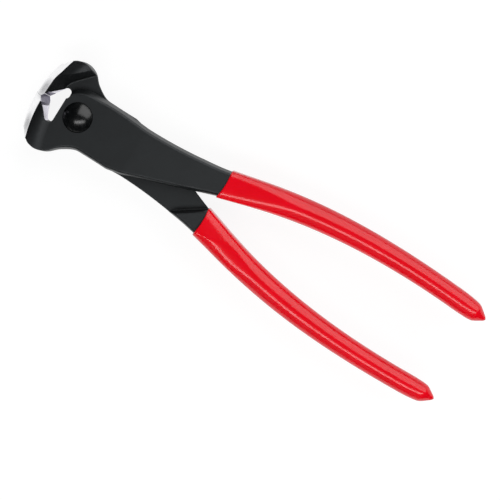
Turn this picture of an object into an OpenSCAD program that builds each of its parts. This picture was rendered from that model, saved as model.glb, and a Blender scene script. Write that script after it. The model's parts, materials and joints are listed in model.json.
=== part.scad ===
// End cutting nippers: two crossing forged levers, one pivot rivet and two dipped handle coats.
// The drawing frame has the pivot at its origin, +X along the handles and +Z along the pivot.
// The part's own frame has the middle of its base at the origin.

/* [Head] */
// Distance from the pivot to the cutting edges
head_len = 19.7; // [19:0.1:21]
// Half of the width across both jaws
jaw_half_w = 19.8; // [18.5:0.1:21]
// Height of each jaw's rim over the middle plane
jaw_rim = 12.5; // [11:0.1:14]
// Radius of the ground front across the cutting edges
dome_r = 28; // [24:0.5:36]
// Radius of the ground front along the two jaws
crown_r = 45; // [36:1:60]
// Distance from the pivot to the rim line
rim_x = 15.2; // [14.6:0.1:16]
// Radius of the rim line along the two jaws
rim_r = 58; // [50:1:70]
// Gap between the closed cutting edges
edge_gap = 0.12; // [0.06:0.02:0.3]
// Angle of each cutting bevel to the tool's axis
bevel_angle = 47; // [42:1:50]
// Length of each cutting bevel
bevel_len = 2.7; // [2.2:0.1:3.2]

/* [Throat] */
// Distance from the pivot to the hub's flat front
hub_front = 8.4; // [7.5:0.1:9]
// Half of the distance between the middles of the throat's round ends
throat_y = 5.85; // [5.4:0.05:6.3]
// Radius of the throat's round ends at the middle plane
throat_r = 1.65; // [1.3:0.05:2]
// Angle of the throat's walls to the tool's axis
throat_wall = 55.5; // [53:0.5:58]
// Draft of the throat's walls
throat_draft = 2; // [1:0.5:5]

/* [Pivot] */
// Radius of the round hub
hub_r = 11.4; // [11:0.1:12.5]
// Thickness of each lever at the hub
cheek_t = 6; // [5:0.1:7]
// Gap between the two lapped faces
lap_gap = 0.1; // [0.06:0.02:0.3]
// Free space between a hub and the other lever's jaw
hub_room = 3.7; // [3:0.1:4.5]
// Direction in which the lap's front wall lies from the pivot, from the tool's axis
lap_wall_angle = 42.3; // [40:0.1:46]
// Distance from the pivot to the lap's end under the cutting edges
lap_front = 11.3; // [11:0.1:12]
// Diameter of the rivet's shank
shank_d = 8; // [6:0.1:9]
// Diameter of the rivet's heads
rivet_head_d = 12; // [10.5:0.1:13.5]
// Height of the rivet's heads
rivet_head_h = 3; // [1.5:0.1:3.5]
// Depth of the round seat in each cheek, under the rivet's head
seat_depth = 0.3; // [0.1:0.1:1]
// Free ring in the seat around the rivet's head
seat_ring = 0.15; // [0.1:0.05:0.4]
// Radial clearance of the rivet in the levers
rivet_gap = 0.05; // [0.02:0.01:0.1]

/* [Levers] */
// Half width of the waist behind the hub
waist_half_w = 10.7; // [10:0.1:11.2]
// Distance from the pivot to the waist
waist_x = 26; // [22:0.5:30]
// Width of each neck where the coat starts
neck_w = 11.2; // [10.4:0.1:11.6]
// Thickness of each neck where the coat starts
neck_t = 10.4; // [9.8:0.1:11]
// Distance of the lap's rear ramp from the pivot
ramp_d = 40.3; // [38:0.1:41]
// Angle of the lap's rear ramp to the tool's axis
ramp_angle = 55; // [50:1:60]
// Run of the ramp from the lap face up to the full thickness
ramp_run = 1.3; // [0.8:0.1:4]

/* [Handles] */
// Distance from the pivot to the ends of the handles
handle_len = 180.3; // [165:0.1:200]
// Distance from the pivot to the start of the coats
grip_start = 63.2; // [60:0.1:68]
// Distance of each handle's middle line from the tool's axis at the coat's start
handle_start_y = 8.8; // [8.4:0.1:9.4]
// The same distance at the handle's end
handle_end_y = 19; // [17:0.1:22]
// How far the handles bow out
handle_bow_y = 24.5; // [22:0.1:27]
// Step from the neck up to the coat's outside
coat_step = 0.75; // [0.5:0.05:0.9]
// Width of a coated handle near its end
grip_w_end = 8.8; // [8:0.1:10]
// Thickness of a coated handle near its end
grip_t_end = 9.4; // [8.6:0.1:10.5]
// Length of the nose at the end of each coat, with its drip
nose_len = 14; // [10:0.5:18]
// Length of the pointed drip at the very end of each coat
drip_len = 4.7; // [3:0.1:6]
// Wall of the coat over the steel tang
coat_wall = 1.2; // [1:0.05:1.5]
// Gap between the coat and the steel
coat_gap = 0.05; // [0.03:0.01:0.1]
// Length of solid plastic past the end of the tang
coat_end = 8; // [4:0.5:12]

/* [Hidden] */
$fn = 96;

steel_black = "#2b2f30";
coat_red = "#d8101c";

// Place of the pivot in the part's own frame
base_x = (handle_len - head_len) / 2;
base_z = jaw_rim;

// Head: middle of the ground dome, flare between cheek and rim, wall of the lap
dome_x = dome_r - head_len;
flare_r = jaw_rim - cheek_t;
lap_wall_r = hub_r + hub_room;
// Stock that the blank has past the finished faces, and the reach of the large cutters
stock = 1;
far = 4 * handle_len;

// The jaw's outer contour: place along the head and share of the bulge past the hub's radius
jaw_contour = [
    [1.00, 0.00], [0.50, 0.00], [0.25, 0.05], [0.00, 0.39], [-0.20, 0.83],
    [-0.405, 1.00], [-0.56, 0.94], [-0.64, 0.80], [-0.71, 0.63], [-0.77, 0.47]
];

// Segments of the smooth curves and of the handles
curve_steps = 6;
edge_steps = 12;
arc_steps = 8;
grip_stations = 30;
nose_stations = 6;
drip_stations = 2;
tang_stations = 18;
ring_sides = 20;

// Form of the handles: section, shares of it at the drip's root and tip, blunt end of the drip
ring_power = 2.8;
drip_root = 0.82;
drip_tip = 0.1;
drip_blunt = 0.3;
// Taper, root of the tang in the neck, rounded lip of the coat
taper_power = 1.6;
neck_overlap = 6;
lip_len = 0.8;
lip_drop = 0.5;
lip_round = [1, 0.3, 0];
grip_w_start = neck_w + 2 * coat_step;
grip_t_start = neck_t + 2 * coat_step;

// The handle's middle line: a cubic whose inner control points lie at these shares of its length
splay_share = 0.16;
splay_rise = 0.3;
bow_share = 0.41;
grip_len = handle_len - grip_start;
handle_points = [
    [grip_start, handle_start_y],
    [grip_start + splay_share * grip_len, handle_start_y + splay_rise * (handle_bow_y - handle_start_y)],
    [grip_start + bow_share * grip_len, handle_bow_y],
    [handle_len, handle_end_y]
];

// Point of a cubic curve given by four control points
function bezier(p, t) =
    pow(1 - t, 3) * p[0] + 3 * pow(1 - t, 2) * t * p[1] + 3 * (1 - t) * t * t * p[2] + pow(t, 3) * p[3];

// Point between b and c of a smooth curve that passes through a, b, c and d
function through(a, b, c, d, t) =
    0.5 * (2 * b + (c - a) * t + (2 * a - 5 * b + 4 * c - d) * t * t + (3 * b - a - 3 * c + d) * t * t * t);

// Smooth curve through all the points of a list
function smooth_curve(p) = concat(
    [for (i = [0 : len(p) - 2], j = [0 : curve_steps - 1])
        through(p[max(i - 1, 0)], p[i], p[i + 1], p[min(i + 2, len(p) - 1)], j / curve_steps)],
    [p[len(p) - 1]]
);

// Share of the handle's length at a place along X, from the cubic's own X values
function handle_share(x, low = -0.2, high = 1, left = 24) =
    left == 0 ? (low + high) / 2
    : let (mid = (low + high) / 2)
        bezier(handle_points, mid)[0] < x
            ? handle_share(x, mid, high, left - 1)
            : handle_share(x, low, mid, left - 1);

function handle_y(x) = bezier(handle_points, handle_share(x))[1];

// Taper from the coat's start to its nose, quick at first
function taper(x) = 1 - pow(1 - max(0, min(1, (x - grip_start) / (grip_len - nose_len))), taper_power);
function grip_w(x) = grip_w_start + (grip_w_end - grip_w_start) * taper(x);
function grip_t(x) = grip_t_start + (grip_t_end - grip_t_start) * taper(x);

// The nose eases in to the drip's root, and the drip falls straight to its tip
function nose(x) =
    let (left = handle_len - x, s = max(0, (nose_len - left) / (nose_len - drip_len)))
        left > drip_len ? 1 - (1 - drip_root) * s * s : drip_tip + (drip_root - drip_tip) * left / drip_len;

// One soft-cornered section of a handle, square to X
function power(v) = sign(v) * pow(abs(v), 2 / ring_power);
function ring(x, width, thick) = [
    for (i = [0 : ring_sides - 1])
        let (a = 360 * i / ring_sides)
            [x, handle_y(x) + width / 2 * power(cos(a)), thick / 2 * power(sin(a))]
];

// Faces between neighbouring rings, and a cap from a middle point
function walls(count) = [
    for (s = [0 : count - 2], i = [0 : ring_sides - 1], half = [0, 1])
        let (a = s * ring_sides, j = (i + 1) % ring_sides)
            half == 0 ? [a + i, a + ring_sides + i, a + j] : [a + j, a + ring_sides + i, a + ring_sides + j]
];
function fan(middle, first, turn) = [
    for (i = [0 : ring_sides - 1])
        let (j = (i + 1) % ring_sides)
            turn ? [middle, first + j, first + i] : [middle, first + i, first + j]
];

// Closed skin over a list of rings, with its two end points on the handle's middle line
module skin(rings, first_x, last_x) {
    count = len(rings);
    ends = [for (x = [first_x, last_x]) [x, handle_y(x), 0]];
    points = concat([for (r = rings, p = r) p], ends);
    polyhedron(points, concat(
        walls(count),
        fan(count * ring_sides, 0, false),
        fan(count * ring_sides + 1, (count - 1) * ring_sides, true)
    ));
}

// Steel bar inside the coat; room grows it into the coat's hollow
tang_end = handle_len - coat_end;
function tang_ring(x, room) = ring(
    x,
    (grip_w(x) - 2 * coat_wall) * nose(x) + 2 * room,
    (grip_t(x) - 2 * coat_wall) * nose(x) + 2 * room
);
function tang_rings(from, to, room) = [
    for (i = [0 : tang_stations]) tang_ring(from + (to - from) * i / tang_stations, room)
];

module tang() {
    root = grip_start - neck_overlap;
    skin(tang_rings(root, tang_end, 0), root, tang_end);
}

// Plan of one lever with its jaw at -Y and its handle at +Y
neck_out = handle_start_y + neck_w / 2;
neck_in = handle_start_y - neck_w / 2;
hub_corner = acos(hub_front / hub_r);
hub_arc = [
    for (i = [0 : arc_steps])
        let (a = 180 - hub_corner + (hub_corner - 90) * i / arc_steps)
            hub_r * [cos(a), sin(a)]
];
// The shoulder leaves the hub straight and drops to the waist at its end
shoulder_shares = [[0, 0], [0.3, 0], [0.6, 0.15], [1, 1]];
shoulder = smooth_curve([
    for (p = shoulder_shares) [p[0] * waist_x, hub_r - p[1] * (hub_r - waist_half_w)]
]);
outer_edge = [
    for (i = [1 : edge_steps])
        let (s = i / edge_steps)
            [waist_x + (grip_start - waist_x) * s, waist_half_w + (neck_out - waist_half_w) * s * s]
];
// The inner edge runs straight from the neck across the other lever
crossing_rise = 0.6;
inner_edge = [[grip_start, neck_in], [waist_x, crossing_rise - waist_half_w]];
jaw_edge = smooth_curve([
    for (p = jaw_contour) [p[0] * head_len, -hub_r - p[1] * (jaw_half_w - hub_r)]
]);

front_x = -head_len - stock;
front_y = -hub_r - jaw_contour[len(jaw_contour) - 1][1] * (jaw_half_w - hub_r) + stock;

module lever_plan() {
    polygon(concat(
        hub_arc, shoulder, outer_edge, inner_edge, jaw_edge,
        [[front_x, front_y], [front_x, -edge_gap / 2], [-hub_front, -edge_gap / 2]]
    ));
}

// Stock above the cheek, cut away inside a round flare that climbs to the bowed rim line
module flare_cut() {
    foot_r = rim_r - flare_r;
    translate([rim_r - rim_x, 0, cheek_t]) {
        rotate_extrude()
            translate([foot_r, flare_r])
                circle(r = flare_r);
        cylinder(r = foot_r, h = jaw_rim);
    }
}

// Everything in front of the hub, where the head is ground
module grinding_side() {
    translate([-far - hub_front, -far / 2, -far / 2])
        cube([far, far, far]);
}

// Turns an outline about the axis on which the ground dome is centred
module ground_turn() {
    translate([dome_x, 0, 0])
        rotate([90, 0, 0])
            rotate_extrude()
                children();
}

// Stock in front of the ground dome
module dome_cut() {
    half = jaw_half_w + stock;
    crown = [
        for (i = [-edge_steps : edge_steps])
            let (y = half * i / edge_steps)
                [dome_r - crown_r + sqrt(crown_r * crown_r - y * y), y]
    ];
    difference() {
        grinding_side();
        ground_turn()
            polygon(concat([[0, -half]], crown, [[0, half]]));
    }
}

// Ground bevel behind the cutting edge, and the relief from there to the throat
module bevel_cut() {
    depth = edge_gap / 2 + bevel_len * tan(bevel_angle);
    relief_end = dome_x + hub_front;
    intersection() {
        grinding_side();
        ground_turn()
            polygon([
                [dome_r, -stock], [dome_r, edge_gap / 2],
                [dome_r - bevel_len, depth], [relief_end, depth], [relief_end, -stock]
            ]);
    }
}

// Half of the throat, a slot whose round end meets the hub's front, wider at both faces than at the middle plane
function throat_outline(grow) =
    let (
        r = throat_r + grow,
        middle = [-hub_front - r, -throat_y],
        touch = 270 - throat_wall,
        tip = middle + r * [cos(touch), sin(touch)],
        climb = stock - tip[1]
    ) concat(
        [tip + [-climb / tan(throat_wall), climb]],
        [for (i = [0 : arc_steps])
            let (a = touch + (360 - touch) * i / arc_steps)
                middle + r * [cos(a), sin(a)]],
        [[-hub_front, stock]]
    );

module throat_cut() {
    top = jaw_rim + stock;
    grow = top * tan(throat_draft);
    n = len(throat_outline(0));
    levels = [[-top, grow], [0, 0], [top, grow]];
    points = [for (level = levels, p = throat_outline(level[1])) [p[0], p[1], level[0]]];
    sides = [
        for (s = [0, 1], i = [0 : n - 1])
            let (a = s * n, j = (i + 1) % n)
                [a + i, a + n + i, a + n + j, a + j]
    ];
    polyhedron(points, concat(sides, [[for (i = [0 : n - 1]) i], [for (i = [n - 1 : -1 : 0]) 2 * n + i]]));
}

// Lower half that makes room for the other lever, from behind the cutting edges to a ramp at its rear end
module lap_cut() {
    reach = far / 4;
    top = lap_gap / 2;
    deep = cheek_t + jaw_rim;
    intersection() {
        rotate(180 + lap_wall_angle)
            translate([-reach, -reach, -deep])
                cube([reach + lap_wall_r, 2 * reach, deep + top]);
        translate([-lap_front, -reach, -deep])
            cube([lap_front + grip_start, 2 * reach, deep + top]);
        rotate(ramp_angle)
            rotate([90, 0, 0])
                linear_extrude(2 * reach, center = true)
                    polygon([
                        [-reach, -deep], [ramp_d + ramp_run * (deep / cheek_t - 1), -deep],
                        [ramp_d - ramp_run, top], [-reach, top]
                    ]);
    }
}

// The neck thins from the cheek to the coat's start
module neck_cut() {
    slope = atan((cheek_t - neck_t / 2) / (grip_start - waist_x));
    for (side = [0, 1])
        mirror([0, 0, side])
            translate([waist_x, 0, cheek_t])
                rotate([0, slope, 0])
                    translate([0, -far / 2, 0])
                        cube([far, far, far]);
}

// One lever in the drawing frame: hub above the middle plane, jaw at -Y, handle at +Y
module lever() {
    difference() {
        union() {
            difference() {
                linear_extrude(2 * jaw_rim, center = true)
                    lever_plan();
                flare_cut();
                mirror([0, 0, 1])
                    flare_cut();
                neck_cut();
                dome_cut();
                bevel_cut();
                throat_cut();
            }
            tang();
        }
        lap_cut();
        cylinder(d = shank_d + 2 * rivet_gap, h = far, center = true);
        translate([0, 0, cheek_t - seat_depth])
            cylinder(d = rivet_head_d + 2 * seat_ring, h = far);
    }
}

// One dipped coat, closed at its nose and hollow for the tang
module grip() {
    start = grip_start + coat_gap;
    body_end = handle_len - nose_len;
    drip_start = handle_len - drip_len;
    places = concat(
        [for (i = [0 : len(lip_round) - 1]) start + lip_len * pow(i / (len(lip_round) - 1), 2)],
        [for (i = [1 : grip_stations]) start + lip_len + (body_end - start - lip_len) * i / grip_stations],
        [for (i = [1 : nose_stations]) body_end + (drip_start - body_end) * i / nose_stations],
        [for (i = [1 : drip_stations]) drip_start + (drip_len - drip_blunt) * i / drip_stations]
    );
    outer = [
        for (i = [0 : len(places) - 1])
            let (x = places[i], drop = i < len(lip_round) ? 2 * lip_drop * lip_round[i] : 0)
                ring(x, grip_w(x) * nose(x) - drop, grip_t(x) * nose(x) - drop)
    ];
    hollow_end = tang_end + coat_gap;
    hollow = tang_rings(start, hollow_end, coat_gap);
    skin(concat([for (i = [tang_stations : -1 : 0]) hollow[i]], outer), hollow_end, handle_len);
}

// Rivet: a shank with a domed head at each end
module rivet() {
    shank_r = shank_d / 2;
    head_r = rivet_head_d / 2;
    seat = cheek_t - seat_depth + rivet_gap;
    cap_r = (head_r * head_r + rivet_head_h * rivet_head_h) / (2 * rivet_head_h);
    cap_angle = asin(head_r / cap_r);
    cap = [
        for (i = [0 : arc_steps])
            let (a = cap_angle * (1 - i / arc_steps))
                [cap_r * sin(a), seat + rivet_head_h - cap_r * (1 - cos(a))]
    ];
    half = concat([[shank_r, seat]], cap);
    rotate_extrude()
        polygon(concat(half, [for (i = [len(half) - 1 : -1 : 0]) [half[i][0], -half[i][1]]]));
}

// From the drawing frame to the part's own frame
module placed() {
    translate([-base_x, 0, base_z])
        children();
}

module turned_over() {
    rotate([180, 0, 0])
        children();
}

module top_lever() { color(steel_black) placed() lever(); }
module bottom_lever() { color(steel_black) placed() turned_over() lever(); }
module pivot_rivet() { color(steel_black) placed() rivet(); }
module top_grip() { color(coat_red) placed() grip(); }
module bottom_grip() { color(coat_red) placed() turned_over() grip(); }

top_lever();
bottom_lever();
pivot_rivet();
top_grip();
bottom_grip();
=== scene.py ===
# %% [markdown]
# # End cutting nippers
# A pair of end cutting nippers is two steel forgings that cross on one rivet. Each forging has a wide
# flared jaw at one end and a handle dipped in red plastic at the other. This lesson builds how the tool
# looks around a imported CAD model. The CAD model fixes the sizes and the joint, so every piece below is
# made in millimetres about the rivet and then placed once, in metres, in the model's own frame.

import json
import math

import bmesh
import bpy
import numpy as np
import openvdb
from mathutils import Matrix, Vector


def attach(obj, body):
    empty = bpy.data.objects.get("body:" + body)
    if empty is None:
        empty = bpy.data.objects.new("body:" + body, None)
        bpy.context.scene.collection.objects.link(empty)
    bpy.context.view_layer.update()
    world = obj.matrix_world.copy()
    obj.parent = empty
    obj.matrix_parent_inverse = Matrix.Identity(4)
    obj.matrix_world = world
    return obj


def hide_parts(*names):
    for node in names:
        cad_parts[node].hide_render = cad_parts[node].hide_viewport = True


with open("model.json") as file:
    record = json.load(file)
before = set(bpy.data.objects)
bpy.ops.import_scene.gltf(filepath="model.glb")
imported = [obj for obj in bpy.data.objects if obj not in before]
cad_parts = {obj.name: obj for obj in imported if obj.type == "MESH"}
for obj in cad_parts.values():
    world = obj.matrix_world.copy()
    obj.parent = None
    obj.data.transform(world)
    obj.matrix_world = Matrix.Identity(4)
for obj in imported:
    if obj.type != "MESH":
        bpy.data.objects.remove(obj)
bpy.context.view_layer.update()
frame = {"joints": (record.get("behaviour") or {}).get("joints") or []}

MM = 0.001
PIVOT = np.array(frame["joints"][0]["pos_m"])
scene = bpy.context.scene
scene.view_settings.view_transform = "Standard"

# %% [markdown]
# ## The camera
# The tool lies flat and is seen almost straight from above, with its length running down to the right. A
# camera can be aimed with a constraint, but here its three axes are known, so its matrix is written out:
# first a camera that looks down with the tool level, leaned a little towards the upper handle, then
# turned about its own line of sight. The lens is long, but the tool fills the picture, so the jaws are
# still seen a little from behind.

# %% Camera
VIEW_TURN = math.radians(32.5)
VIEW_LEAN = math.radians(5.3)
VIEW_WIDTH = 0.2005
VIEW_FAR = 0.68
VIEW_AIM = (86.0, -8.15, 0.0)

aim = Vector(PIVOT) + Vector(VIEW_AIM) * MM
back = Vector((0, math.sin(VIEW_LEAN), math.cos(VIEW_LEAN)))
along = Vector((1, 0, 0))
across = back.cross(along)
right = along * math.cos(VIEW_TURN) + across * math.sin(VIEW_TURN)
up = across * math.cos(VIEW_TURN) - along * math.sin(VIEW_TURN)
facing = Matrix((right, up, back)).transposed().to_4x4()

camera = bpy.data.objects.new("camera", bpy.data.cameras.new("camera"))
scene.collection.objects.link(camera)
camera.matrix_world = Matrix.Translation(aim + back * VIEW_FAR) @ facing
camera.data.lens = camera.data.sensor_width * VIEW_FAR / VIEW_WIDTH
scene.camera = camera
print("lens in mm:", round(camera.data.lens, 1))

# %% [markdown]
# ## Floor and studio light
# The background is white, so the floor is a large white sheet, a hair below the tool. More light could
# make it white, but would bleach the tool too. So its shader adds a little light of its own for the
# camera. The same share goes to glossy and transmitted rays, so that the ground steel mirrors the same
# white floor.

# %% Floor
FLOOR_HALF = 6.0
FLOOR_DROP = 0.0003
FLOOR_TONE = 0.18
FLOOR_GLOW = 0.88


def new_nodes(name):
    """A material with an empty node tree, its nodes and its links."""
    material = bpy.data.materials.new(name)
    material.use_nodes = True
    material.node_tree.nodes.clear()
    return material, material.node_tree.nodes, material.node_tree.links


def maths(nodes, links, operation, first, second):
    """A Math node with two inputs. The second may be a plain number."""
    node = nodes.new("ShaderNodeMath")
    node.operation = operation
    links.new(first, node.inputs[0])
    if isinstance(second, float):
        node.inputs[1].default_value = second
    else:
        links.new(second, node.inputs[1])
    return node.outputs[0]


def paper_white():
    material, nodes, links = new_nodes("paper_white")
    out = nodes.new("ShaderNodeOutputMaterial")
    add = nodes.new("ShaderNodeAddShader")
    sheet = nodes.new("ShaderNodeBsdfDiffuse")
    sheet.inputs["Color"].default_value = (FLOOR_TONE, FLOOR_TONE, FLOOR_TONE, 1)
    glow = nodes.new("ShaderNodeEmission")
    path = nodes.new("ShaderNodeLightPath").outputs
    seen = maths(nodes, links, "MAXIMUM", path["Is Camera Ray"], path["Is Glossy Ray"])
    seen = maths(nodes, links, "MAXIMUM", seen, path["Is Transmission Ray"])
    links.new(maths(nodes, links, "MULTIPLY", seen, FLOOR_GLOW), glow.inputs["Strength"])
    links.new(sheet.outputs[0], add.inputs[0])
    links.new(glow.outputs[0], add.inputs[1])
    links.new(add.outputs[0], out.inputs["Surface"])
    return material


floor_mesh = bpy.data.meshes.new("floor")
corners = [(FLOOR_HALF * x, FLOOR_HALF * y, -FLOOR_DROP) for x, y in [(-1, -1), (1, -1), (1, 1), (-1, 1)]]
floor_mesh.from_pydata(corners, [], [(0, 1, 2, 3)])
floor = bpy.data.objects.new("floor", floor_mesh)
scene.collection.objects.link(floor)
floor.data.materials.append(paper_white())
print("floor in m:", 2 * FLOOR_HALF)

# %% [markdown]
# Gloss is only as good as what it mirrors. A large softbox stands on the upper handle's side, and gives
# the broad pale band along both handles. A narrow strip hangs on the other side, near the camera, and
# gives the thin bright line. Between the two the room is dim, which keeps the red deep and the black
# steel dark. A wide fill low on the other side lifts the red's shaded flanks. It is hidden from glossy
# rays, so that it draws no band of its own.

# %% Lights
LAMP_AIM = Vector((0, 0, 0.0125))
ROOM_LIGHT = 0.03


def softbox(name, heading, zenith, distance, size, power, slide=0.0):
    """A rectangular lamp at a heading from +X to +Y and an angle from straight above, slid sideways."""
    lamp = bpy.data.lights.new(name, "AREA")
    lamp.shape = "RECTANGLE"
    lamp.size, lamp.size_y = size
    lamp.energy = power
    holder = bpy.data.objects.new(name, lamp)
    scene.collection.objects.link(holder)
    h, z = math.radians(heading), math.radians(zenith)
    towards = Vector((math.sin(z) * math.cos(h), math.sin(z) * math.sin(h), math.cos(z)))
    sideways = Vector((-math.sin(h), math.cos(h), 0))
    holder.location = LAMP_AIM + towards * distance + sideways * slide
    holder.rotation_euler = (-towards).to_track_quat("-Z", "Y").to_euler()
    return holder


softbox("key_softbox", heading=100, zenith=51, distance=1.6, size=(2.6, 1.9), power=30, slide=-0.93)
softbox("strip_light", heading=-58, zenith=25, distance=1.5, size=(1.6, 0.34), power=8.6, slide=0.2)
fill = softbox("side_fill", heading=-95, zenith=62, distance=1.8, size=(3.5, 1.5), power=21)
fill.visible_glossy = False

world = bpy.data.worlds.new("dim_room")
scene.world = world
world.use_nodes = True
world.node_tree.nodes["Background"].inputs["Color"].default_value = (1, 1, 1, 1)
world.node_tree.nodes["Background"].inputs["Strength"].default_value = ROOM_LIGHT

# %% [markdown]
# ## Finishes
# Five finishes cover the tool, and each is a Principled shader. Painted images could show the wear, but
# they tie a finish to one unwrapped mesh. So colour, roughness and bump come from noise in the object's
# own space, at the size that the real surface has, and any mesh can wear the finish.

# %% Helpers for the finishes
# Blender's noise stays mostly within this span
NOISE_SPAN = (0.3, 0.7)


def principled(name):
    material, nodes, links = new_nodes(name)
    out = nodes.new("ShaderNodeOutputMaterial")
    shader = nodes.new("ShaderNodeBsdfPrincipled")
    links.new(shader.outputs[0], out.inputs["Surface"])
    place = nodes.new("ShaderNodeTexCoord")
    return material, nodes, links, shader, place.outputs["Object"]


def noise(nodes, links, place, size_mm, detail, stretch=None):
    """Noise with grains of about this size, squeezed or stretched along the axes if asked."""
    texture = nodes.new("ShaderNodeTexNoise")
    texture.inputs["Scale"].default_value = 1 / (size_mm * MM)
    texture.inputs["Detail"].default_value = detail
    if stretch:
        mapping = nodes.new("ShaderNodeMapping")
        mapping.inputs["Scale"].default_value = stretch
        links.new(place, mapping.inputs["Vector"])
        place = mapping.outputs[0]
    links.new(place, texture.inputs["Vector"])
    return texture.outputs["Fac"]


def ramp(nodes, links, value, tones, span=NOISE_SPAN):
    """A blend of two colours over a span of values."""
    node = nodes.new("ShaderNodeValToRGB")
    for element, position, tone in zip(node.color_ramp.elements, span, tones):
        element.position = position
        element.color = (*tone, 1)
    links.new(value, node.inputs["Fac"])
    return node.outputs["Color"]


def spread(nodes, links, value, low, high, span=NOISE_SPAN):
    """A value's span mapped to a range."""
    node = nodes.new("ShaderNodeMapRange")
    node.inputs["From Min"].default_value = span[0]
    node.inputs["From Max"].default_value = span[1]
    node.inputs["To Min"].default_value = low
    node.inputs["To Max"].default_value = high
    links.new(value, node.inputs["Value"])
    return node.outputs["Result"]


def covered(nodes, links, colour, tone, share):
    """A colour that gives way to one plain tone by a share."""
    node = nodes.new("ShaderNodeMixRGB")
    node.inputs["Color2"].default_value = (*tone, 1)
    links.new(share, node.inputs["Fac"])
    links.new(colour, node.inputs["Color1"])
    return node.outputs["Color"]


def bump(nodes, links, height, depth_mm, strength, under=None):
    """Bump of a real depth, on top of another bump if one is given."""
    node = nodes.new("ShaderNodeBump")
    node.inputs["Strength"].default_value = strength
    node.inputs["Distance"].default_value = depth_mm * MM
    links.new(height, node.inputs["Height"])
    if under is not None:
        links.new(under, node.inputs["Normal"])
    return node.outputs["Normal"]


# %% [markdown]
# The forgings are blackened, and the black is satin: a fine grain over soft dents, a little uneven in
# tone. A plain dark grey would look like plastic. Two bumps of real depth catch the light as steel does,
# and a measure kept on the mesh says where the black is rubbed off.

# %% Blackened forged steel
BLACK_TONES = [(0.0042, 0.005, 0.0054), (0.006, 0.0072, 0.0078)]
BLACK_ROUGHNESS = (0.42, 0.54)
BLACK_SPECULAR = 0.56
BLACK_TINT = (0.93, 0.97, 1.0, 1)
RUBBED_TONE = (0.045, 0.047, 0.05)
RUBBED_SHARE = (0.0, 0.9)


def black_steel():
    material, nodes, links, shader, place = principled("black_steel")
    patches = noise(nodes, links, place, size_mm=7.0, detail=5.0)
    grain = noise(nodes, links, place, size_mm=0.35, detail=4.0)
    skin = noise(nodes, links, place, size_mm=2.2, detail=2.0)
    wear = nodes.new("ShaderNodeAttribute")
    wear.attribute_name = "wear"
    share = maths(nodes, links, "MULTIPLY", wear.outputs["Fac"], spread(nodes, links, skin, *RUBBED_SHARE))
    colour = covered(nodes, links, ramp(nodes, links, patches, BLACK_TONES), RUBBED_TONE, share)
    links.new(colour, shader.inputs["Base Color"])
    links.new(spread(nodes, links, grain, *BLACK_ROUGHNESS), shader.inputs["Roughness"])
    dents = bump(nodes, links, skin, depth_mm=0.03, strength=0.6)
    normal = bump(nodes, links, grain, depth_mm=0.012, strength=0.6, under=dents)
    links.new(normal, shader.inputs["Normal"])
    shader.inputs["Specular IOR Level"].default_value = BLACK_SPECULAR
    shader.inputs["Specular Tint"].default_value = BLACK_TINT
    return material


BLACK_STEEL = black_steel()
print("finish:", BLACK_STEEL.name)

# %% [markdown]
# A grinding wheel leaves the jaws' fronts bright, with fine lines along its path. A perfect mirror would
# look like chrome, so stretched noise draws the lines as a shallow bump, and a cloud of noise varies tone
# and gloss. On each jaw a grey patch of painted shade stands in for a darker reflection. It is placed by
# its distance from a point and broken up by the lines. The throat wears the same steel in a cooler tone.

# %% Bright ground steel
GROUND_TONES = [(0.84, 0.84, 0.85), (0.95, 0.95, 0.96)]
THROAT_TONES = [(0.66, 0.63, 0.74), (0.80, 0.78, 0.87)]
CLOUD_SPAN = (0.38, 0.6)
GROUND_ROUGHNESS = (0.22, 0.34)
ACROSS_Y = (1, 14, 1)
# Points on the jaws' fronts where grey patches of painted shade stand in for darker reflections
PAINTED_SHADE_PLACES = [(-17.2, 3.4, 10.5), (-15.8, -12.5, 10.5)]
PAINTED_SHADE_REACH = (1.5 * MM, 5.5 * MM)
PAINTED_SHADE_TONE = (0.28, 0.28, 0.29)
PAINTED_SHADE_SHARE = (0.5, 1.0)


def ground_steel(name, tones):
    material, nodes, links, shader, place = principled(name)
    lines = noise(nodes, links, place, size_mm=1.2, detail=4.0, stretch=ACROSS_Y)
    cloud = noise(nodes, links, place, size_mm=4.0, detail=3.0)
    # Grey painted shade near these points, standing in for darker reflections, broken up by the grinding
    # lines
    away = []
    for centre in PAINTED_SHADE_PLACES:
        node = nodes.new("ShaderNodeVectorMath")
        node.operation = "DISTANCE"
        node.inputs[1].default_value = Vector(PIVOT) + Vector(centre) * MM
        links.new(place, node.inputs[0])
        away.append(node.outputs["Value"])
    near = spread(nodes, links, maths(nodes, links, "MINIMUM", *away), 1.0, 0.0, PAINTED_SHADE_REACH)
    share = maths(nodes, links, "MULTIPLY", near, spread(nodes, links, lines, *PAINTED_SHADE_SHARE))
    colour = covered(nodes, links, ramp(nodes, links, cloud, tones, CLOUD_SPAN), PAINTED_SHADE_TONE, share)
    links.new(colour, shader.inputs["Base Color"])
    shader.inputs["Metallic"].default_value = 1.0
    links.new(spread(nodes, links, cloud, *GROUND_ROUGHNESS), shader.inputs["Roughness"])
    links.new(bump(nodes, links, lines, depth_mm=0.004, strength=0.3), shader.inputs["Normal"])
    return material


GROUND_STEEL = ground_steel("ground_steel", GROUND_TONES)
THROAT_STEEL = ground_steel("throat_steel", THROAT_TONES)
print("finishes:", GROUND_STEEL.name, THROAT_STEEL.name)

# %% [markdown]
# The bevel behind each cutting edge is hardened. Its darker violet grey is painted shade, for the shade
# and dark reflection that the other jaw throws on it. It is ground too, but across the edge, so its lines
# run the other way. A darker metal with the lines turned is enough.

# %% Cutting edge with painted shade
# The violet grey here is painted shade, where the other jaw shades and darkens the bevel
BEVEL_SHADE_TONES = [(0.15, 0.14, 0.19), (0.24, 0.23, 0.28)]
HARDENED_ROUGHNESS = (0.28, 0.40)
ACROSS_Z = (1, 1, 14)


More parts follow.
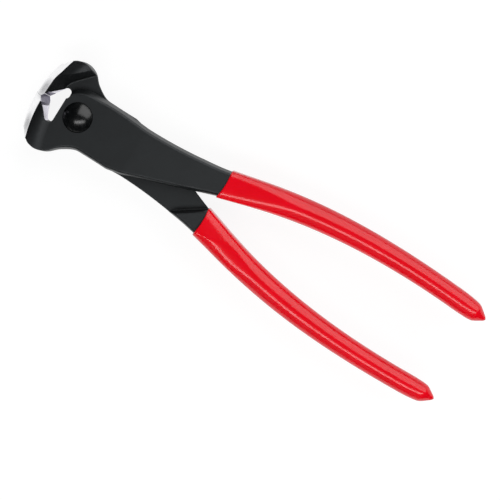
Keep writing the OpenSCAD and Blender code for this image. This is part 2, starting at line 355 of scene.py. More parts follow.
def bevel_painted_shade():
    material, nodes, links, shader, place = principled("bevel_painted_shade")
    lines = noise(nodes, links, place, size_mm=1.2, detail=4.0, stretch=ACROSS_Z)
    shade_variation = noise(nodes, links, place, size_mm=3.0, detail=2.0)
    links.new(ramp(nodes, links, shade_variation, BEVEL_SHADE_TONES), shader.inputs["Base Color"])
    shader.inputs["Metallic"].default_value = 1.0
    links.new(spread(nodes, links, lines, *HARDENED_ROUGHNESS), shader.inputs["Roughness"])
    links.new(bump(nodes, links, lines, depth_mm=0.008, strength=0.4), shader.inputs["Normal"])
    return material


BEVEL_SHADE_STEEL = bevel_painted_shade()
print("finish:", BEVEL_SHADE_STEEL.name)

# %% [markdown]
# The rivet's head is blackened as well, but rubbed smooth, so it shows the lamps as small clear lights.
# The forging's grain would blur them, so the rivet gets a finish of its own, darker and with little bump.

# %% Polished black rivet
RIVET_TONES = [(0.0012, 0.0017, 0.0018), (0.003, 0.0037, 0.004)]
RIVET_SPAN = (0.35, 0.75)
RIVET_ROUGHNESS = (0.20, 0.28)
RIVET_SPECULAR = 0.62


def rivet_black():
    material, nodes, links, shader, place = principled("rivet_black")
    rub = noise(nodes, links, place, size_mm=1.5, detail=4.0)
    links.new(ramp(nodes, links, rub, RIVET_TONES, RIVET_SPAN), shader.inputs["Base Color"])
    links.new(spread(nodes, links, rub, *RIVET_ROUGHNESS), shader.inputs["Roughness"])
    links.new(bump(nodes, links, rub, depth_mm=0.003, strength=0.3), shader.inputs["Normal"])
    shader.inputs["Specular IOR Level"].default_value = RIVET_SPECULAR
    return material


RIVET_BLACK = rivet_black()
print("finish:", RIVET_BLACK.name)

# %% [markdown]
# Dipped plastic is soft and glossy, and a little light gets in and comes out red. Plain gloss paint would
# look hard, so a small share of subsurface scattering is added, with red reaching further than green and
# blue. The skin sags along the handle while it dries, so its faint waves are stretched that way.

# %% Red dipped plastic
RED_TONES = [(0.88, 0.001, 0.010), (0.95, 0.0015, 0.014)]
RED_ROUGHNESS = (0.18, 0.20)
RED_DEPTH = 2 * MM
RED_REACH = (1.0, 0.08, 0.08)
RED_SCATTER = 0.2
ALONG_X = (0.3, 1, 1)


def dipped_red():
    material, nodes, links, shader, place = principled("dipped_red")
    depth = noise(nodes, links, place, size_mm=14.0, detail=2.0)
    skin = noise(nodes, links, place, size_mm=3.0, detail=2.0, stretch=ALONG_X)
    links.new(ramp(nodes, links, depth, RED_TONES), shader.inputs["Base Color"])
    links.new(spread(nodes, links, skin, *RED_ROUGHNESS), shader.inputs["Roughness"])
    links.new(bump(nodes, links, skin, depth_mm=0.003, strength=0.5), shader.inputs["Normal"])
    shader.inputs["Subsurface Weight"].default_value = RED_SCATTER
    shader.inputs["Subsurface Radius"].default_value = RED_REACH
    shader.inputs["Subsurface Scale"].default_value = RED_DEPTH
    return material


DIPPED_RED = dipped_red()
print("finish:", DIPPED_RED.name)

# %% [markdown]
# ## The forging's outline
# A drop forging is pressed between two dies that part along its outline. So its form is an outline in the
# parting plane, a height over each point, and walls that lean in by the draft of the dies. The outline is
# drawn here as one closed list of points: round hub, shoulder, neck, and the wide jaw. It is drawn past
# the faces that are ground later.

# %% Sizes of the forging, in mm from the rivet
HEAD_LEN = 19.7
JAW_HALF_W = 19.8
JAW_RIM = 12.5
HUB_R = 11.4
CHEEK_T = 6.0
WAIST = (26.0, 10.7)
GRIP_START = 63.2
NECK_W = 11.2
NECK_T = 10.4
NECK_END = GRIP_START + 1.1
HANDLE_LEN = 180.3
HANDLE_POINTS = np.array([(63.2, 8.8), (81.94, 13.51), (111.2, 24.5), (180.3, 19.0)])
DRAFT = math.tan(math.radians(10))
OVERSIZE = 3.5


def bezier(points, t):
    """Points of a cubic curve at the shares t."""
    t = np.asarray(t, float)[:, None]
    a, b, c, d = points
    return (1 - t) ** 3 * a + 3 * (1 - t) ** 2 * t * b + 3 * (1 - t) * t**2 * c + t**3 * d


def through(points, steps=10):
    """A smooth curve that passes through every point of a list."""
    p = np.array([points[0], *points, points[-1]], float)
    t = np.arange(steps)[:, None] / steps
    runs = []
    for a, b, c, d in zip(p, p[1:], p[2:], p[3:]):
        bend = (c - a) * t + (2 * a - 5 * b + 4 * c - d) * t**2 + (3 * b - a - 3 * c + d) * t**3
        runs.append(0.5 * (2 * b + bend))
    return np.vstack([*runs, p[-1:]])


print("handle from", GRIP_START, "to", HANDLE_LEN, "mm behind the rivet")

# %% Draw the outline
# Places on the jaw's side: share of the head's length, and share of the bulge past the hub's radius
JAW_SHARES = [
    (1, 0), (0.5, 0), (0.25, 0.05), (0, 0.39), (-0.2, 0.83),
    (-0.405, 1), (-0.56, 0.94), (-0.64, 0.8), (-0.71, 0.63), (-0.77, 0.47),
]
# Places on the shoulder: share of the way to the waist, and share of the drop to it
SHOULDER_SHARES = [(0, 0), (0.3, 0), (0.6, 0.15), (1, 1)]
ROOT_X = NECK_END + 6
ROOT_SLOPE = 0.25
CROSSING_IN = 0.6
FRONT_X = -HEAD_LEN - 5
FRONT_Y = -10.0


def forging_outline():
    start = math.asin(OVERSIZE / HUB_R)
    turn = np.linspace(math.pi - start, math.pi / 2, num=40)
    hub = HUB_R * np.column_stack([np.cos(turn), np.sin(turn)])
    drop = HUB_R - WAIST[1]
    shoulder = through([(s * WAIST[0], HUB_R - d * drop) for s, d in SHOULDER_SHARES])
    neck_y = HANDLE_POINTS[0][1]
    s = np.linspace(0, 1, num=25)[1:]
    rise = neck_y + NECK_W / 2 - WAIST[1]
    outer = np.column_stack([WAIST[0] + (GRIP_START - WAIST[0]) * s, WAIST[1] + rise * s**2])
    climb = ROOT_SLOPE * (ROOT_X - GRIP_START)
    root = [
        (ROOT_X, neck_y + NECK_W / 2 + climb),
        (ROOT_X, neck_y - NECK_W / 2 + climb),
        (GRIP_START, neck_y - NECK_W / 2),
    ]
    crossing = [(WAIST[0], CROSSING_IN - WAIST[1])]
    bulge = JAW_HALF_W - HUB_R
    jaw = through([(x * HEAD_LEN, -HUB_R - y * bulge) for x, y in JAW_SHARES])
    front = [(FRONT_X, FRONT_Y), (FRONT_X, OVERSIZE)]
    return np.vstack([hub, shoulder[1:], outer, root, crossing, jaw, front])


outline = forging_outline()
print("outline points:", len(outline))

# %% [markdown]
# ## Forging the blank
# The blank could be modelled with loops and creases, but its rounded edges, leaning walls and fillets
# would take many hand-made loops. A distance field gives them directly: for each point of a fine grid we
# ask how deep it lies inside the outline, under the top face and outside the lap, and join the answers
# with rounded minima. OpenVDB then turns the zero level into a mesh of even quads.

# %% Rounded joins of distances


def rounded_min(a, b, r):
    """The smaller of two depths, with their edge rounded to radius r."""
    corner = r - np.sqrt(np.maximum(r - a, 0) ** 2 + np.maximum(r - b, 0) ** 2)
    return np.where((a < r) & (b < r), corner, np.minimum(a, b))


def rounded_max(a, b, r):
    """The larger of two depths, with their inner corner filleted to radius r."""
    return -rounded_min(-a, -b, r)


def ease(v, low, high):
    """0 below low, 1 above high, smooth between."""
    t = np.clip((v - low) / (high - low), 0, 1)
    return t * t * (3 - 2 * t)


def blend(pair, share):
    """The first value of a pair at share 0, and the second at 1."""
    return pair[0] + (pair[1] - pair[0]) * share


def depth_in_outline(points, x, y):
    """How far each plan point lies inside a closed outline."""
    best = np.full(x.shape, 1e9, np.float32)
    inside = np.zeros(x.shape, bool)
    for (ax, ay), (bx, by) in zip(points, np.roll(points, -1, axis=0)):
        ex, ey = bx - ax, by - ay
        share = np.clip(((x - ax) * ex + (y - ay) * ey) / (ex * ex + ey * ey + 1e-12), 0, 1)
        best = np.minimum(best, (x - ax - share * ex) ** 2 + (y - ay - share * ey) ** 2)
        if ey != 0:
            inside ^= ((ay > y) != (by > y)) & (x < ax + (y - ay) * ex / ey)
    return np.where(inside, 1, -1) * np.sqrt(best)


print("two depths of 1 mm, rounded by 2 mm:", round(float(rounded_min(1.0, 1.0, 2.0)), 3))

# %% [markdown]
# The top face is a flat cheek that thins along the neck. At the front it climbs in a quarter round to the
# jaw's rim, which is bowed, so the climb is measured from a large circle.

# %% Depth under the top face
RIM_X = 15.2
RIM_R = 58.0
FLARE_R = JAW_RIM - CHEEK_T
RIM_SPARE = 0.4


def cheek_height(x):
    return CHEEK_T - (CHEEK_T - NECK_T / 2) * np.maximum(x - WAIST[0], 0) / (GRIP_START - WAIST[0])


def depth_under_top(x, y, z):
    z = np.abs(z)
    behind = RIM_R - np.hypot(x - RIM_R + RIM_X, y)
    flare = np.hypot(FLARE_R - behind, JAW_RIM - np.minimum(z, JAW_RIM)) - FLARE_R
    top = np.where(behind < FLARE_R, flare, cheek_height(x) - z)
    return np.minimum(top, JAW_RIM + RIM_SPARE - z)


print("rim over the cheek in mm:", FLARE_R)

# %% [markdown]
# Where the levers cross, each gives up half of its thickness. This lap ends behind the jaw in a wall with
# two sides, and on the neck in a steep step. The walls lean and have small fillets at their feet, as dies
# need.

# %% Depth outside the lap
LAP_Z = 0.05
LAP_WALL = (math.radians(222.3), 14.5)
LAP_WALL_LEAN = 0.32
LAP_FRONT = 11.3
LAP_FILLET = 0.4
LAP_CORNER = 2.0
LAP_REAR = (math.radians(55), 39.0)
LAP_REAR_LEAN = 0.15
LAP_REAR_FILLET = 0.35
LAP_STOP = GRIP_START + 0.4


def past_line(line, x, y):
    """How far a plan point lies past a line, given by its direction and its distance from the rivet."""
    return x * math.cos(line[0]) + y * math.sin(line[0]) - line[1]


def depth_outside_lap(x, y, z):
    lean = LAP_WALL_LEAN * (LAP_Z - z)
    side_wall = past_line(LAP_WALL, x, y) - lean
    front_wall = -x - LAP_FRONT - lean
    wall = rounded_max(side_wall, front_wall, LAP_CORNER) / math.hypot(1, LAP_WALL_LEAN)
    rear = (past_line(LAP_REAR, x, y) - LAP_REAR_LEAN * (LAP_Z - z)) / math.hypot(1, LAP_REAR_LEAN)
    rear = np.maximum(rear, x - LAP_STOP)
    return rounded_max(rounded_max(z - LAP_Z, wall, LAP_FILLET), rear, LAP_REAR_FILLET)


print("lap's rear wall in mm from the rivet:", LAP_REAR[1])

# %% [markdown]
# The side walls lean differently along the forging: much at the hub, as usual at the neck, and hardly at
# the jaw. A thin flash is left where the dies part. Then all the depths are joined and meshed.

# %% Mesh the blank
GRID = 0.2
BLANK_X = (-HEAD_LEN - 7, NECK_END + 1)
BLANK_Y = (-JAW_HALF_W - 2, 19.0)
BLANK_Z = (-JAW_RIM - 1, JAW_RIM + 1)
JAW_DRAFT = 0.05
JAW_FADE = (-8.0, 4.0)
HUB_DRAFT = 0.32
HUB_FADE = (-3.0, 11.0)
HUB_SWELL = (0.0, 0.45)
JAW_SWELL = (0.2, 0.45)
NECK_SHRINK = 0.2
NECK_FADE = (48.0, 60.0)
FLASH = 0.08
EDGE_R = (0.35, 0.9)
EDGE_FADE = (-6.0, 6.0)
LAP_EDGE_R = 0.3


def depth_in_walls(plan, x, y, z):
    """How far a point lies inside the leaning side walls."""
    hub_side = y > 0
    behind_jaw = ease(x, *JAW_FADE)
    swell = np.where(hub_side, blend(HUB_SWELL, behind_jaw), blend(JAW_SWELL, behind_jaw))
    grown = plan + swell - NECK_SHRINK * ease(x, *NECK_FADE)
    hub_draft = blend((HUB_DRAFT, DRAFT), ease(x, *HUB_FADE))
    jaw_lean = JAW_DRAFT * (1 - behind_jaw) * z + DRAFT * behind_jaw * np.abs(z)
    lean = np.where(hub_side, hub_draft * np.abs(z), jaw_lean)
    side = (grown - lean) / np.sqrt(1 + np.where(hub_side, hub_draft, DRAFT) ** 2)
    return np.minimum(side, grown - FLASH)


def forged_blank():
    x = np.arange(*BLANK_X, GRID, dtype=np.float32)[:, None, None]
    y = np.arange(*BLANK_Y, GRID, dtype=np.float32)[None, :, None]
    z = np.arange(*BLANK_Z, GRID, dtype=np.float32)[None, None, :]
    plan = depth_in_outline(outline, x[:, :, 0] + 0 * y[:, :, 0], y[:, :, 0] + 0 * x[:, :, 0])[:, :, None]
    edge_r = blend(EDGE_R, ease(x, *EDGE_FADE))
    solid = rounded_min(depth_in_walls(plan, x, y, z), depth_under_top(x, y, z), edge_r)
    solid = rounded_min(solid, depth_outside_lap(x, y, z), LAP_EDGE_R)
    solid = np.minimum(solid, NECK_END - x)
    grid = openvdb.FloatGrid(1.0)
    grid.copyFromArray(np.ascontiguousarray(-solid, dtype=np.float32))
    points, quads = grid.convertToQuads(0.0)
    return points * GRID + np.array([x.flat[0], y.flat[0], z.flat[0]]), quads


blank_points, blank_quads = forged_blank()
print("blank:", len(blank_points), "points,", len(blank_quads), "quads")

# %% [markdown]
# ## Tang and handle line
# Behind the neck the forging runs on as a slim bar, the tang, inside the plastic. A curve with a bevel
# has one section all along, but this one tapers, so it is a plain loft: rings along the handle's middle
# line, joined by quads. The coats are lofts too, so the ring and skin helpers are made here.

# %% Handle line and its sizes
NOSE_LEN = 14.0
NOSE_BEND = 12
DRIP_LEN = 4.7
DRIP_ROOT = 0.88
DRIP_TIP = 0.12
DRIP_BLUNT = 0.9
COAT_STEP = 0.75
COAT_WALL = 1.2
GRIP_W = (NECK_W + 2 * COAT_STEP, 8.8)
GRIP_T = (NECK_T + 2 * COAT_STEP, 9.4)
TAPER_LEN = HANDLE_LEN - GRIP_START - NOSE_LEN
TAPER_POWER = 1.6
LINE_LEAD = 0.15

line_points = bezier(HANDLE_POINTS, np.linspace(-LINE_LEAD, 1, num=600))


def handle_y(x):
    return np.interp(x, line_points[:, 0], line_points[:, 1])


def taper(x):
    return 1 - (1 - np.clip((x - GRIP_START) / TAPER_LEN, 0, 1)) ** TAPER_POWER


def grip_width(x):
    return blend(GRIP_W, taper(x))


def grip_thickness(x):
    return blend(GRIP_T, taper(x))


def nose(x):
    """Share of the full section: it eases in over the nose, bends softly into the drip and ends bluntly."""
    left = np.maximum(HANDLE_LEN - x, 0)
    ease_in = np.maximum((NOSE_LEN - left) / (NOSE_LEN - DRIP_LEN), 0)
    body = 1 - (1 - DRIP_ROOT) * ease_in**2
    drip = blend((DRIP_TIP, DRIP_ROOT), left / DRIP_LEN)
    blunt = np.minimum(left / DRIP_BLUNT, 1)
    return (body**-NOSE_BEND + drip**-NOSE_BEND) ** (-1 / NOSE_BEND) * np.sqrt(blunt * (2 - blunt))


print("handles' middle lines apart, in mm:", round(2 * float(line_points[:, 1].max()), 1))

# %% Rings and lofts
TANG_END = HANDLE_LEN - 8
TANG_POWER = 2.8
BEND_SHARE = 2.0


def ring(x, width, thickness, sides, power=TANG_POWER, creep=0.0, under=None):
    """A soft-cornered section, with more points where it bends. Its underside may be reshaped."""
    a = np.linspace(0, 2 * math.pi, num=721)
    c, s = np.cos(a), np.sin(a)
    across = np.sign(c) * np.abs(c) ** (2 / power)
    tall = thickness / 2 * np.sign(s) * np.abs(s) ** (2 / power)
    if under is not None:
        tall = np.where(tall < 0, tall * under(across), tall)
    step_y, step_z = np.diff(width / 2 * across), np.diff(tall)
    heading = np.unwrap(np.arctan2(step_z, step_y))
    bend = np.abs(np.diff(heading, prepend=heading[0]))
    run = np.append(0, np.cumsum(np.hypot(step_y, step_z) + BEND_SHARE * bend))
    even = np.linspace(0, run[-1], sides, endpoint=False)
    across, tall = np.interp(even, run, across), np.interp(even, run, tall)
    return np.column_stack([x + creep * (1 - across**2), handle_y(x) + width / 2 * across, tall])


def loft(rings, first, last):
    """A closed skin over rings, with an end point at each end."""
    sides = len(rings[0])
    points = np.vstack([*rings, [first], [last]])
    faces = []
    for s in range(len(rings) - 1):
        a = s * sides
        for i in range(sides):
            j = (i + 1) % sides
            faces.append((a + i, a + j, a + sides + j, a + sides + i))
    end = (len(rings) - 1) * sides
    for i in range(sides):
        j = (i + 1) % sides
        faces.append((len(points) - 2, j, i))
        faces.append((len(points) - 1, end + i, end + j))
    return points, faces


def line_point(x):
    return (x, float(handle_y(x)), 0.0)


def tang_ring(x, sides, room=0.0):
    full = float(nose(x))
    width = (grip_width(x) - 2 * COAT_WALL) * full + 2 * room
    thickness = (grip_thickness(x) - 2 * COAT_WALL) * full + 2 * room
    return ring(x, width, thickness, sides)


print("tang ends in mm behind the rivet:", round(TANG_END, 1))

# %% [markdown]
# ## Grinding the jaws
# After forging, the jaws are ground: a front that rolls over to the rim, a bevel behind each cutting
# edge, and the throat. Bevelled edges in the blank would look soft, but grinding leaves crisp edges, and
# a Boolean cut does just that. Each cutter is a grid bent to the ground face and closed behind. A cut
# face keeps its cutter's finish, so the cutters carry bright steel where the wheel ran.

# %% Helpers for meshes and cuts
# One of these finishes carries the bevel's painted shade
FINISHES = (BLACK_STEEL, GROUND_STEEL, BEVEL_SHADE_STEEL, THROAT_STEEL)
FORGED, GROUND, SHADED_BEVEL, TINTED = range(len(FINISHES))


def mesh_from(name, points, faces):
    """A mesh whose faces look outwards."""
    mesh = bpy.data.meshes.new(name)
    mesh.from_pydata(np.asarray(points).tolist(), [], [tuple(f) for f in faces])
    mesh.update()
    shape = bmesh.new()
    shape.from_mesh(mesh)
    if shape.calc_volume(signed=True) < 0:
        bmesh.ops.reverse_faces(shape, faces=shape.faces)
        shape.to_mesh(mesh)
    shape.free()
    return mesh


def smooth(mesh, crease):
    """Smooth shading, except over edges sharper than an angle in degrees."""
    mesh.polygons.foreach_set("use_smooth", np.ones(len(mesh.polygons), bool))
    mesh.set_sharp_from_angle(angle=math.radians(crease))


def temporary(name, points, faces, finish=FORGED):
    """A helper object with all the steel finishes. The finish is one number, or one for each face."""
    mesh = mesh_from(name, points, faces)
    for material in FINISHES:
        mesh.materials.append(material)
    finish = np.broadcast_to(finish, len(mesh.polygons)).astype(np.int32)
    mesh.polygons.foreach_set("material_index", finish)
    holder = bpy.data.objects.new(name, mesh)
    scene.collection.objects.link(holder)
    return holder


def combine(body, tool, operation):
    """Cuts or adds a tool, then throws the tool away."""
    step = body.modifiers.new(tool.name, "BOOLEAN")
    step.solver = "EXACT"
    step.operation = operation
    step.object = tool
    evaluated = body.evaluated_get(bpy.context.evaluated_depsgraph_get())
    result = bpy.data.meshes.new_from_object(evaluated)
    body.modifiers.clear()
    old, used = body.data, tool.data
    body.data = result
    bpy.data.objects.remove(tool)
    bpy.data.meshes.remove(old)
    bpy.data.meshes.remove(used)


def block(front, rear):
    """A closed solid between two grids of points with the same shape."""
    rows, columns = front.shape[:2]
    points = np.vstack([front.reshape(-1, 3), rear.reshape(-1, 3)])
    n = rows * columns
    faces = []
    for i in range(rows - 1):
        for j in range(columns - 1):
            a = i * columns + j
            faces.append((a, a + 1, a + columns + 1, a + columns))
            faces.append((n + a, n + a + columns, n + a + columns + 1, n + a + 1))
    rim = [(0, j) for j in range(columns)] + [(i, columns - 1) for i in range(1, rows)]
    rim += [(rows - 1, j) for j in range(columns - 2, -1, -1)] + [(i, 0) for i in range(rows - 2, 0, -1)]
    for (i, j), (k, m) in zip(rim, rim[1:] + rim[:1]):
        a, b = i * columns + j, k * columns + m
        faces.append((a, n + a, n + b, b))
    return points, faces


print("steel finishes:", [material.name for material in FINISHES])

# %% [markdown]
# The front is an arc over the jaw's thickness, so that it shows the white floor where it rolls over, and
# it is crowned across the jaws. The bevel follows the same arc, inwards from the cutting edge, with
# relief behind it.

# %% Cutters for the front and the bevel
FRONT_R = 19.6
FRONT_SPAN = (-24.0, 6.0)
FRONT_DEPTH = 12.0
CROWN_R = 45.0
EDGE_GAP = 0.06
BEVEL = math.tan(math.radians(47))
BEVEL_LEN = 2.7
BEVEL_LEAD = 9.0
RELIEF_LEN = 7.0
CUT_OVER = 2.0
CUT_SPARE = 1.0


def front_profile():
    """Heights over the jaw's thickness, and how far the arc of the front stands out there, as a share."""
    z = np.linspace(-JAW_RIM, JAW_RIM, num=73)
    at_rim = math.sqrt(FRONT_R**2 - JAW_RIM**2)
    reach = (np.sqrt(FRONT_R**2 - z**2) - at_rim) / (FRONT_R - at_rim)
    over = JAW_RIM + CUT_OVER
    return np.concatenate([[-over], z, [over]]), np.concatenate([[0], reach, [0]])


def front_cutter():
    z, reach = front_profile()
    y = np.linspace(*FRONT_SPAN, num=61)[:, None]
    crown = CROWN_R - np.sqrt(CROWN_R**2 - y**2)
    rim = RIM_R - RIM_X - np.sqrt(RIM_R**2 - y**2)
    x = rim - (rim + HEAD_LEN - crown) * reach
    face = np.stack([x, y + 0 * x, z + 0 * x], -1)
    rear = face.copy()
    rear[..., 0] = -HEAD_LEN - FRONT_DEPTH
    return block(face, rear)


def bevel_cutter():
    z, reach = front_profile()
    edge = -RIM_X - (HEAD_LEN - RIM_X) * reach
    inward = np.append(np.linspace(-BEVEL_LEAD, BEVEL_LEN, num=40), RELIEF_LEN)[:, None]
    y = -EDGE_GAP - np.clip(inward, 0, BEVEL_LEN) * BEVEL
    face = np.stack([edge + inward, y + 0 * edge, z + 0 * inward], -1)
    rear = face.copy()
    rear[..., 1] = OVERSIZE + CUT_SPARE
    return block(face, rear)


print("front stands out in mm:", round(HEAD_LEN - RIM_X, 1))

# %% [markdown]
# The throat is the opening behind the edges, where the wire lies. On each lever it is half of a slot: a
# ground wall on the jaw, a round end, and the forged front of the hub. Its cutter is that plan, stacked
# in levels, so that it can widen a little towards both faces.

# %% Cutter for the throat
HUB_FRONT = 7.9
THROAT_Y = 5.85
THROAT_R = 1.65
THROAT_WALL = math.radians(55.5)
THROAT_DRAFT = 0.03
GROUND_BEND = 8


def throat_plan(z):
    """The slot's outline at a height, and how many of its sides the wheel reaches."""
    r = THROAT_R + abs(z) * THROAT_DRAFT
    top = HUB_R + CUT_SPARE
    share = np.linspace(0, 1, num=9)
    arc = np.linspace(1.5 * math.pi - THROAT_WALL, 2 * math.pi, num=28)
    bend = np.column_stack([-HUB_FRONT - r + r * np.cos(arc), -THROAT_Y + r * np.sin(arc)])
    (x0, y0), (x1, y1) = bend[0], bend[-1]
    wall = [(x0 - s * (top - y0) / math.tan(THROAT_WALL), y0 + s * (top - y0)) for s in share[:0:-1]]
    hub = [(x1, y1 + s * (top - y1)) for s in share[1:]]
    return [(px, py, z) for px, py in [*wall, *bend, *hub]], len(wall) + GROUND_BEND


def throat_cutter():
    levels = np.linspace(-JAW_RIM - CUT_OVER, JAW_RIM + CUT_OVER, num=31)
    rows = [throat_plan(z)[0] for z in levels]
    reached = throat_plan(0)[1]
    count = len(rows[0])
    faces = []
    finish = []
    for s in range(len(levels) - 1):
        for i in range(count):
            j = (i + 1) % count
            faces.append((s * count + i, s * count + j, (s + 1) * count + j, (s + 1) * count + i))
            finish.append(TINTED if i < reached else FORGED)
    faces.append(tuple(range(count - 1, -1, -1)))
    faces.append(tuple((len(levels) - 1) * count + i for i in range(count)))
    return np.array(rows).reshape(-1, 3), faces, np.array(finish + [FORGED, FORGED])


print("throat's round end in mm:", THROAT_R)

# %% [markdown]
# Now the blank is finished: the tang joins it, then the wheel cuts throat, bevel and front, and last come
# the round cuts for the bore, the rivet's seat and a small notch in the hub's front.

# %% Grind the blank
RIVET_R = 6.0
BORE_R = 4.05
SEAT_DEPTH = 0.3
SEAT_RING = 0.15
NOTCH = (-9.2, 5.6, 0.0)
NOTCH_R = 2.1
CUT_HALF = 20.0
CUT_SIDES = 64
TANG_LEAD = 0.6
TANG_TIP = 4.0
TANG_SIDES = 32
# A hair under a right angle, so that a last ring doesn't fall on its end point
NEAR_QUARTER = 1.57


def circle(radius, z, sides):
    a = np.linspace(0, 2 * math.pi, sides, endpoint=False)
    return np.column_stack([radius * np.cos(a), radius * np.sin(a), np.full(sides, z)])


def drum(radius, low, high, sides=96):
    return loft([circle(radius, z, sides) for z in (low, high)], (0, 0, low), (0, 0, high))


lever = temporary("forging", blank_points, blank_quads)
tang_tip = TANG_END - TANG_TIP + TANG_TIP * np.sin(np.linspace(0.2, NEAR_QUARTER, num=6))
tang_x = np.append(np.linspace(NECK_END - TANG_LEAD, TANG_END - TANG_TIP, num=30), tang_tip)
tang = loft([tang_ring(x, TANG_SIDES) for x in tang_x], line_point(tang_x[0]), line_point(TANG_END))
notch_points, notch_faces = drum(NOTCH_R, -CUT_HALF, CUT_HALF, CUT_SIDES)
combine(lever, temporary("tang", *tang), "UNION")
combine(lever, temporary("throat", *throat_cutter()), "DIFFERENCE")
combine(lever, temporary("bevel", *bevel_cutter(), SHADED_BEVEL), "DIFFERENCE")
combine(lever, temporary("front", *front_cutter(), GROUND), "DIFFERENCE")
combine(lever, temporary("bore", *drum(BORE_R, -CUT_HALF, CUT_HALF, CUT_SIDES)), "DIFFERENCE")
combine(lever, temporary("notch", notch_points + np.array(NOTCH), notch_faces), "DIFFERENCE")
combine(lever, temporary("seat", *drum(RIVET_R + SEAT_RING, CHEEK_T - SEAT_DEPTH, CUT_HALF)), "DIFFERENCE")
print("ground lever:", len(lever.data.polygons), "faces")

# %% [markdown]
# Handling rubs the black off a forging's edges first. The edges could be painted by hand, but how sharply
# a point stands out from its neighbours says where they are, so that measure is kept on the mesh, and the
# black finish reads it.

# %% Smooth the faces and find the edges that wear
LEVER_CREASE = 28
WEAR_SPAN = (0.25, 1.2)
SHORTEST = 0.01


def edge_wear(mesh):
    """How far each point stands out from its neighbours, as a share from 0 to 1."""
    points = np.empty(len(mesh.vertices) * 3, np.float32)
    mesh.vertices.foreach_get("co", points)
    points = points.reshape(-1, 3)
    normals = np.empty(len(mesh.vertices) * 3, np.float32)
    mesh.vertex_normals.foreach_get("vector", normals)
    normals = normals.reshape(-1, 3)
    ends = np.empty(len(mesh.edges) * 2, np.int32)
    mesh.edges.foreach_get("vertices", ends)
    a, b = ends.reshape(-1, 2).T
    step = points[a] - points[b]
    length = np.maximum((step**2).sum(1), SHORTEST)
    lean = np.zeros(len(points))
    count = np.zeros(len(points))
    np.add.at(lean, a, (normals[a] * step).sum(1) / length)
    np.add.at(lean, b, -(normals[b] * step).sum(1) / length)
    np.add.at(count, a, 1)
    np.add.at(count, b, 1)
    return ease(lean / np.maximum(count, 1), *WEAR_SPAN)


wear = edge_wear(lever.data)
lever.data.attributes.new("wear", "FLOAT", "POINT").data.foreach_set("value", wear.astype(np.float32))
smooth(lever.data, LEVER_CREASE)
print("points that wear:", int((wear > 0.5).sum()), "of", len(wear))

# %% [markdown]
# ## Two levers from one forging
# Both levers come from the same die. The second could be modelled again, but it is the first turned over
# by half a turn about the tool's axis, so its mesh is a copy with Y and Z turned round.

# %% Place both levers


def place(mesh, name, body, node, slot, turned=False):
    """Moves a mesh from mm about the rivet into the frame, and hands it to its body."""
    turn = Matrix.Diagonal((1, -1, -1, 1)) if turned else Matrix.Identity(4)
    mesh.transform(Matrix.Translation(Vector(PIVOT)) @ Matrix.Scale(MM, 4) @ turn)
    piece = bpy.data.objects.new(name, mesh)
    scene.collection.objects.link(piece)
    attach(piece, body)
    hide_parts(node)
    return piece


forging = lever.data
bpy.data.objects.remove(lever)
top = place(forging.copy(), "forged_lever_top", "top_half", "top_lever", "forged_steel")
bottom = place(forging, "forged_lever_bottom", "bottom_half", "bottom_lever", "forged_steel", turned=True)
print("levers:", top.name, bottom.name)

# %% [markdown]
# ## The rivet
# The rivet is a shank with a low dome at each end, seated in a shallow round recess. A squashed sphere
# would have no rim, so it is turned from a profile: the dome's arc, a small rounded rim and a short wall
# down to the seat.

# %% Turn the rivet
DOME_H = 3.0
DOME_RIM = 0.35
RIM_TUCK = 0.3
RIM_RISE = 0.6
SHANK_R = 4.0
SEAT_PLAY = 0.05
SEAT_Z = CHEEK_T - SEAT_DEPTH + SEAT_PLAY
RIVET_CREASE = 40


def rivet_profile():
    high = DOME_H - DOME_RIM
    cap_r = (RIVET_R**2 + high**2) / (2 * high)
    a = np.linspace(0, math.asin((RIVET_R - DOME_RIM * RIM_TUCK) / cap_r), num=24)
    cap = [(cap_r * math.sin(t), SEAT_Z + DOME_H - cap_r * (1 - math.cos(t))) for t in a[1:]]
    edge = [(RIVET_R, SEAT_Z + DOME_RIM * RIM_RISE), (RIVET_R, SEAT_Z), (SHANK_R, SEAT_Z)]
    return cap + edge


def turned_solid(profile, top_z, sides=96):
    """A profile of (radius, height) turned about Z, with its mirror image below."""
    rows = profile + [(r, -z) for r, z in reversed(profile)]
    return loft([circle(r, z, sides) for r, z in rows], (0, 0, top_z), (0, 0, -top_z))


rivet_mesh = mesh_from("pivot_rivet", *turned_solid(rivet_profile(), SEAT_Z + DOME_H))
rivet_mesh.materials.append(RIVET_BLACK)
smooth(rivet_mesh, RIVET_CREASE)
rivet = place(rivet_mesh, "domed_rivet", "top_half", "pivot_rivet", "rivet_steel")
print("rivet faces:", len(rivet.data.polygons))

# %% [markdown]
# ## The dipped handles
# The handles are dipped in soft plastic and hung to dry. So the coat starts with a rounded lip, which
# creeps up a little at the handle's edges, follows the steel below it, first flat and then oval, and ends
# in a pointed drip. A thickened copy of the tang would have one wall all along, so the coat is a loft
# with sizes of its own. On the lap's side the neck is not level, so there the coat starts as a tilted
# facet with a crest and a steeper flank. That side is under the upper handle, and on top of the lower
# one, because the second lever is turned over.

# %% Shape of the coat's section
BOXINESS = (5.0, 2.05)
BOX_FADE = (GRIP_START - 4, GRIP_START + 32)
FACET = math.tan(math.radians(9))
FACET_HINGE = 0.5
FACET_END = (11.0, 21.0)
FLANK = math.tan(math.radians(22))
CREST = (0.75, 0.35)
CREST_SHIFT = (0.0, 8.0)
CREST_SOFT = (0.03, 0.35)
CREST_FADE = (6.0, 13.0)


def section_power(x):
    """High is boxy, as over the neck, and 2 is oval."""
    return float(blend(BOXINESS, ease(np.asarray(x, float), *BOX_FADE)))


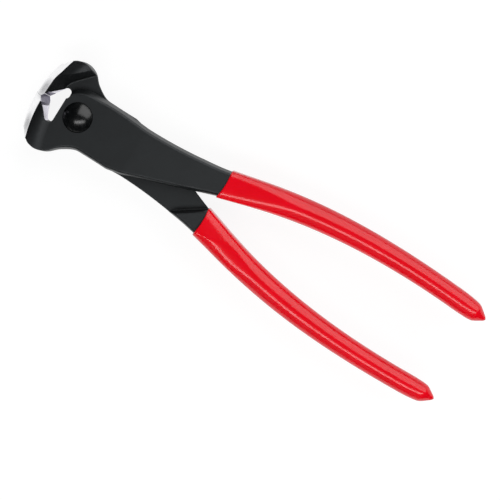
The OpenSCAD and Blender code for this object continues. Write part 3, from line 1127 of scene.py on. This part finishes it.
def facet_under(x):
    """A function of the share across: how far the lower side stands out, in half thicknesses."""
    past = np.asarray(x - GRIP_START, float)
    strength = float(1 - ease(past, *FACET_END))
    crest = blend(CREST, float(ease(past, *CREST_SHIFT)))
    soft = blend(CREST_SOFT, float(ease(past, *CREST_FADE)))
    ratio = float(grip_width(x) / grip_thickness(x))

    def stand(across):
        facet = FACET * (across + FACET_HINGE)
        flank = FACET * (crest + FACET_HINGE) - FLANK * (across - crest)
        mix = np.clip(0.5 + 0.5 * (flank - facet) / soft, 0, 1)
        slope = flank + (facet - flank) * mix - soft * mix * (1 - mix)
        return 1 + strength * ratio * slope

    return stand


print("section power at the start and at 100 mm:", section_power(GRIP_START), section_power(100))

# %% Loft the coats
COAT_SIDES = 120
COAT_CREASE = 60
LIP_LEN = 0.5
LIP_DROP = 0.3
CREEP = 0.7
CREEP_FADE = (GRIP_START, GRIP_START + 4)
DRIP_STOP = 0.15
MOUTH_ROOM = 0.5
MOUTH_END = NECK_END + 0.1
TANG_ROOM = 0.05


def coat_stations():
    """Places along the handle, and how much the lip's rounding takes off there."""
    turn = np.linspace(0, NEAR_QUARTER, num=7)
    lip = [(GRIP_START + LIP_LEN * (1 - math.cos(t)), 2 * LIP_DROP * (1 - math.sin(t))) for t in turn]
    body = np.linspace(GRIP_START + LIP_LEN, HANDLE_LEN - DRIP_LEN, num=150)[1:]
    drip = HANDLE_LEN - DRIP_LEN * np.linspace(1, DRIP_STOP, num=20)[1:] ** 2
    return lip + [(x, 0.0) for x in [*body, *drip]]


def coat_mesh():
    outer = []
    for x, drop in coat_stations():
        full = float(nose(x))
        creep = CREEP * float(1 - ease(np.asarray(x), *CREEP_FADE))
        size = (grip_width(x) * full - drop, grip_thickness(x) * full - drop)
        outer.append(ring(x, *size, COAT_SIDES, section_power(x), creep, facet_under(x)))
    mouth_size = (NECK_W + MOUTH_ROOM, NECK_T + MOUTH_ROOM)
    mouth = [ring(x, *mouth_size, COAT_SIDES, BOXINESS[0]) for x in (GRIP_START, MOUTH_END)]
    mouth[0][:, 0] = outer[0][:, 0]
    hollow_x = np.linspace(MOUTH_END, TANG_END + TANG_ROOM, num=30)
    hollow = [tang_ring(x, COAT_SIDES, TANG_ROOM) for x in hollow_x]
    rings = hollow[::-1] + mouth[::-1] + outer
    return loft(rings, line_point(hollow_x[-1]), line_point(HANDLE_LEN))


coat = mesh_from("dipped_coat", *coat_mesh())
coat.materials.append(DIPPED_RED)
smooth(coat, COAT_CREASE)
print("coat faces:", len(coat.polygons))
place(coat.copy(), "dipped_grip_top", "top_half", "top_grip", "dipped_plastic")
place(coat, "dipped_grip_bottom", "bottom_half", "bottom_grip", "dipped_plastic", turned=True)
